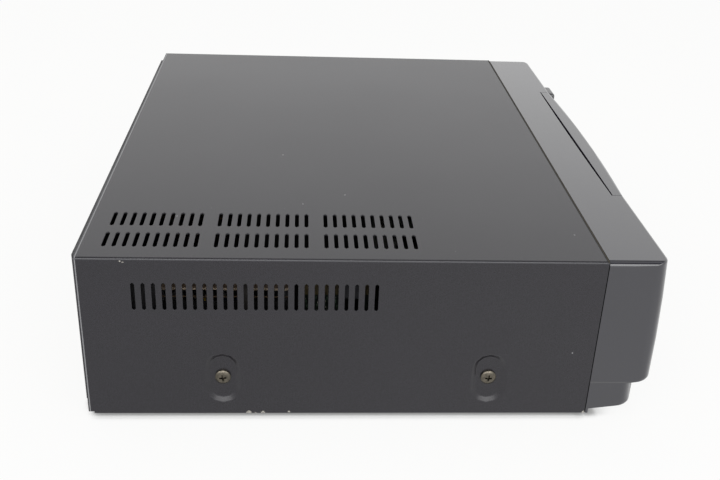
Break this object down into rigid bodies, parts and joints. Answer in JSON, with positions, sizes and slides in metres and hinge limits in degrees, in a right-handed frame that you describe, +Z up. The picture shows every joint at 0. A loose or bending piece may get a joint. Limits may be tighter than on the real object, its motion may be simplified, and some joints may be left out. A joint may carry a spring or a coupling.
{
  "type": "video cassette recorder",
  "caption": "Front-loading video cassette recorder with a slotted steel cover, hinged cassette door, push buttons, rear sockets and the tape deck inside.",
  "frame": {"origin": "centre of the bounding box, on the surface that the feet stand on", "axes": "+X to the user's right, -Y out of the front, +Z up"},
  "size_m": [0.425, 0.374, 0.113],
  "materials": {
    "black_paint": "fine textured black paint",
    "black_gloss": "semi-gloss black moulding",
    "black_moulding": "matte black moulding",
    "smoked_window": "smoked clear moulding",
    "zinc": "zinc plated sheet steel",
    "screw_bronze": "dull plated screw steel",
    "foot_rubber": "matte rubber",
    "board_brown": "brown laminate board",
    "tube_glass": "dark display glass",
    "aluminium": "turned or extruded aluminium",
    "copper_yellow": "transformer core and yellow winding tape",
    "sleeve_black": "dark shrink sleeve",
    "white_moulding": "natural white moulding",
    "roller_rubber": "ground rubber"
  },
  "bodies": {
    "root": {"audio_head": "zinc", "bottom_chassis": "zinc", "capacitor": "sleeve_black", "capstan_motor": "zinc", "carriage_bridge": "zinc", "deck_plate": "zinc", "display_tube": "tube_glass", "display_window": "smoked_window", "erase_head": "zinc", "foot_left_front": "foot_rubber", "foot_left_rear": "foot_rubber", "foot_right_front": "foot_rubber", "foot_right_rear": "foot_rubber", "front_bezel": "black_gloss", "front_board": "board_brown", "heat_sink": "aluminium", "jack_block": "black_moulding", "left_bracket": "zinc", "loading_motor": "zinc", "lower_drum": "aluminium", "main_board": "board_brown", "mains_inlet": "black_moulding", "power_board": "board_brown", "rear_panel": "black_moulding", "right_bracket": "zinc", "side_screw_left_front": "screw_bronze", "side_screw_left_rear": "screw_bronze", "side_screw_right_front": "screw_bronze", "side_screw_right_rear": "screw_bronze", "small_capacitor": "sleeve_black", "top_cover": "black_paint", "transformer": "copper_yellow", "tuner_box": "zinc"},
    "cassette_door": {"cassette_door": "black_gloss"},
    "channel_switch": {"channel_switch": "white_moulding"},
    "upper_drum": {"upper_drum": "aluminium"},
    "supply_reel": {"supply_reel_table": "white_moulding"},
    "take_up_reel": {"take_up_reel_table": "white_moulding"},
    "capstan": {"capstan": "aluminium"},
    "pinch_arm": {"pinch_arm": "zinc"},
    "pinch_roller": {"pinch_roller": "roller_rubber"},
    "supply_guide": {"supply_guide": "white_moulding"},
    "take_up_guide": {"take_up_guide": "white_moulding"},
    "cam_gear": {"cam_gear": "white_moulding"},
    "motor_pinion": {"motor_pinion": "white_moulding"},
    "carriage": {"carriage_frame": "zinc"},
    "holder": {"cassette_holder": "zinc"},
    "stop_button": {"stop_button": "black_gloss"},
    "pause_button": {"pause_button": "black_gloss"},
    "record_button": {"record_button": "black_gloss"},
    "rewind_button": {"rewind_button": "black_gloss"},
    "play_button": {"play_button": "black_gloss"},
    "fast_forward_button": {"fast_forward_button": "black_gloss"},
    "channel_down_button": {"channel_down_button": "black_gloss"},
    "channel_up_button": {"channel_up_button": "black_gloss"},
    "power_button": {"power_button": "black_gloss"},
    "eject_button": {"eject_button": "black_gloss"}
  },
  "joints": [
    {"name": "cassette_door_hinge", "type": "hinge", "parent": "root", "child": "cassette_door", "pos_m": [0, -0.1734, 0.1078], "axis": [1, 0, 0], "range_deg": [0, 90], "stiffness_Nm_per_rad": 0.02, "springref_deg": -14.32},
    {"name": "stop_press", "type": "slide", "parent": "root", "child": "stop_button", "axis": [0, 1, 0], "range_m": [0, 0.001], "stiffness_N_per_m": 150},
    {"name": "pause_press", "type": "slide", "parent": "root", "child": "pause_button", "axis": [0, 1, 0], "range_m": [0, 0.001], "stiffness_N_per_m": 150},
    {"name": "record_press", "type": "slide", "parent": "root", "child": "record_button", "axis": [0, 1, 0], "range_m": [0, 0.001], "stiffness_N_per_m": 150},
    {"name": "rewind_press", "type": "slide", "parent": "root", "child": "rewind_button", "axis": [0, 1, 0], "range_m": [0, 0.001], "stiffness_N_per_m": 150},
    {"name": "play_press", "type": "slide", "parent": "root", "child": "play_button", "axis": [0, 1, 0], "range_m": [0, 0.001], "stiffness_N_per_m": 150},
    {"name": "fast_forward_press", "type": "slide", "parent": "root", "child": "fast_forward_button", "axis": [0, 1, 0], "range_m": [0, 0.001], "stiffness_N_per_m": 150},
    {"name": "channel_down_press", "type": "slide", "parent": "root", "child": "channel_down_button", "axis": [0, 1, 0], "range_m": [0, 0.001], "stiffness_N_per_m": 150},
    {"name": "channel_up_press", "type": "slide", "parent": "root", "child": "channel_up_button", "axis": [0, 1, 0], "range_m": [0, 0.001], "stiffness_N_per_m": 150},
    {"name": "power_press", "type": "slide", "parent": "root", "child": "power_button", "axis": [0, 1, 0], "range_m": [0, 0.001], "stiffness_N_per_m": 150},
    {"name": "eject_press", "type": "slide", "parent": "root", "child": "eject_button", "axis": [0, 1, 0], "range_m": [0, 0.001], "stiffness_N_per_m": 150},
    {"name": "channel_switch_slide", "type": "slide", "parent": "root", "child": "channel_switch", "axis": [1, 0, 0], "range_m": [0, 0.003]},
    {"name": "upper_drum_spin", "type": "hinge", "parent": "root", "child": "upper_drum", "pos_m": [0, 0.03125, 0.06741], "axis": [0, 0.1028, 0.9947], "continuous": true},
    {"name": "supply_reel_spin", "type": "hinge", "parent": "root", "child": "supply_reel", "pos_m": [-0.046, -0.067, 0.0453], "axis": [0, 0, 1], "continuous": true},
    {"name": "take_up_reel_spin", "type": "hinge", "parent": "root", "child": "take_up_reel", "pos_m": [0.046, -0.067, 0.0453], "axis": [0, 0, 1], "continuous": true},
    {"name": "capstan_spin", "type": "hinge", "parent": "root", "child": "capstan", "pos_m": [0.062, -0.0085, 0.02698], "axis": [0, 0, 1], "continuous": true},
    {"name": "pinch_arm_swing", "type": "hinge", "parent": "root", "child": "pinch_arm", "pos_m": [0.084, 0.0175, 0.051], "axis": [0, 0, 1], "range_deg": [0, 25], "stiffness_Nm_per_rad": 0.01, "springref_deg": -11.46},
    {"name": "pinch_roller_spin", "type": "hinge", "parent": "pinch_arm", "child": "pinch_roller", "pos_m": [0.06115, 0.00761, 0.0531], "axis": [0, 0, 1], "continuous": true},
    {"name": "cam_gear_turn", "type": "hinge", "parent": "root", "child": "cam_gear", "pos_m": [-0.062, -0.042, 0.0325], "axis": [0, 0, 1], "range_deg": [0, 120]},
    {"name": "motor_pinion_spin", "type": "hinge", "parent": "root", "child": "motor_pinion", "pos_m": [-0.04553, -0.03047, 0.0325], "axis": [0, 0, 1], "range_deg": [-281, 0]},
    {"name": "supply_guide_swing", "type": "hinge", "parent": "root", "child": "supply_guide", "pos_m": [0.032, 0.026, 0.045], "axis": [0, 0, 1], "range_deg": [-45.3, 0]},
    {"name": "take_up_guide_swing", "type": "hinge", "parent": "root", "child": "take_up_guide", "pos_m": [-0.032, 0.026, 0.045], "axis": [0, 0, 1], "range_deg": [0, 45.3]},
    {"name": "carriage_slide", "type": "slide", "parent": "root", "child": "carriage", "axis": [0, 1, 0], "range_m": [0, 0.079]},
    {"name": "holder_drop", "type": "slide", "parent": "carriage", "child": "holder", "axis": [0, 0, -1], "range_m": [0, 0.02]}
  ],
  "couplings": [
    {"joint": "motor_pinion_spin", "follows": "cam_gear_turn", "ratio": -2.3333},
    {"joint": "supply_guide_swing", "follows": "cam_gear_turn", "ratio": -0.37667},
    {"joint": "take_up_guide_swing", "follows": "cam_gear_turn", "ratio": 0.37667}
  ]
}
